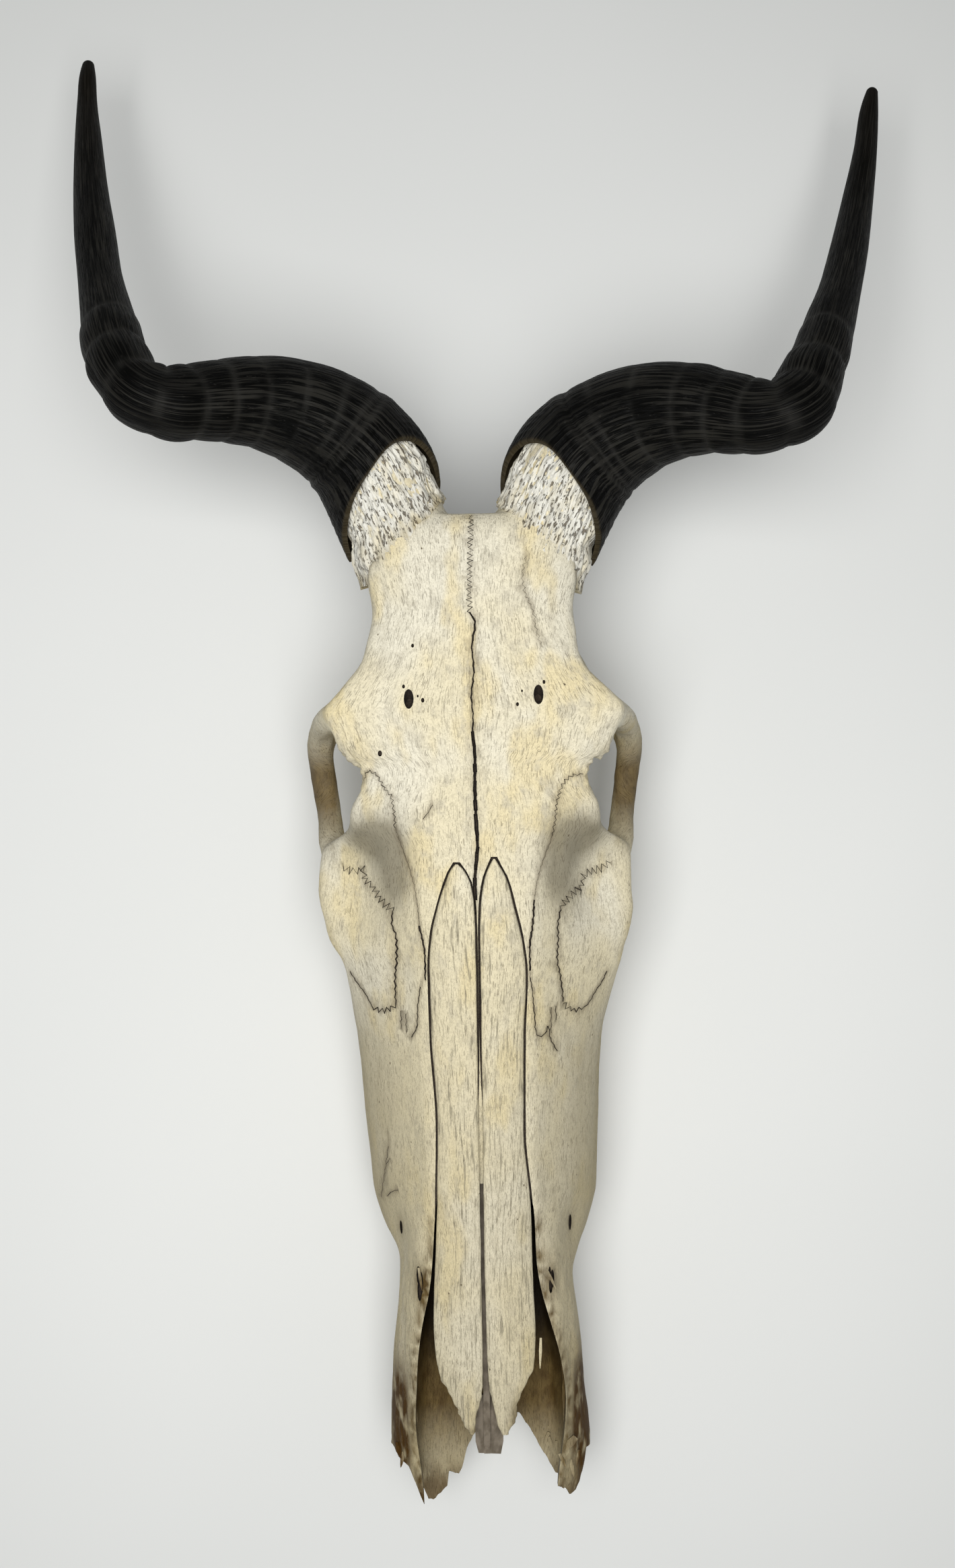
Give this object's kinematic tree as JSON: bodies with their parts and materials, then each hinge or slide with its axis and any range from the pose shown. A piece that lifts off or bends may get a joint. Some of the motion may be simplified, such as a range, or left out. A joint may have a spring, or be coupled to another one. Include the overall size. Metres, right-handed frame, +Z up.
{
  "type": "hartebeest skull",
  "caption": "Bleached upper skull of a hartebeest with its ringed, sharply bent black horns, lying face up on its back teeth, lower jaw and nose tip missing.",
  "frame": {"origin": "centre of the box's footprint, on the surface that the skull lies on", "axes": "+Z up, out of the forehead; the nose points to -Y and the horn tips to +Y; +X is on the right when looking down with the horns at the top, and left and right in node names are meant in that view"},
  "size_m": [0.359, 0.6386, 0.1865],
  "materials": {
    "bone": "matte",
    "horn": "matte",
    "tooth": "satin",
    "gristle": "matte"
  },
  "bodies": {
    "root": {"skull": "bone", "nasal_left": "bone", "nasal_right": "bone", "septum": "gristle", "horn_sheath_left": "horn", "horn_sheath_right": "horn", "premolar_1_left": "tooth", "premolar_2_left": "tooth", "premolar_3_left": "tooth", "molar_1_left": "tooth", "molar_2_left": "tooth", "molar_3_left": "tooth", "premolar_1_right": "tooth", "premolar_2_right": "tooth", "premolar_3_right": "tooth", "molar_1_right": "tooth", "molar_2_right": "tooth", "molar_3_right": "tooth"}
  },
  "joints": []
}
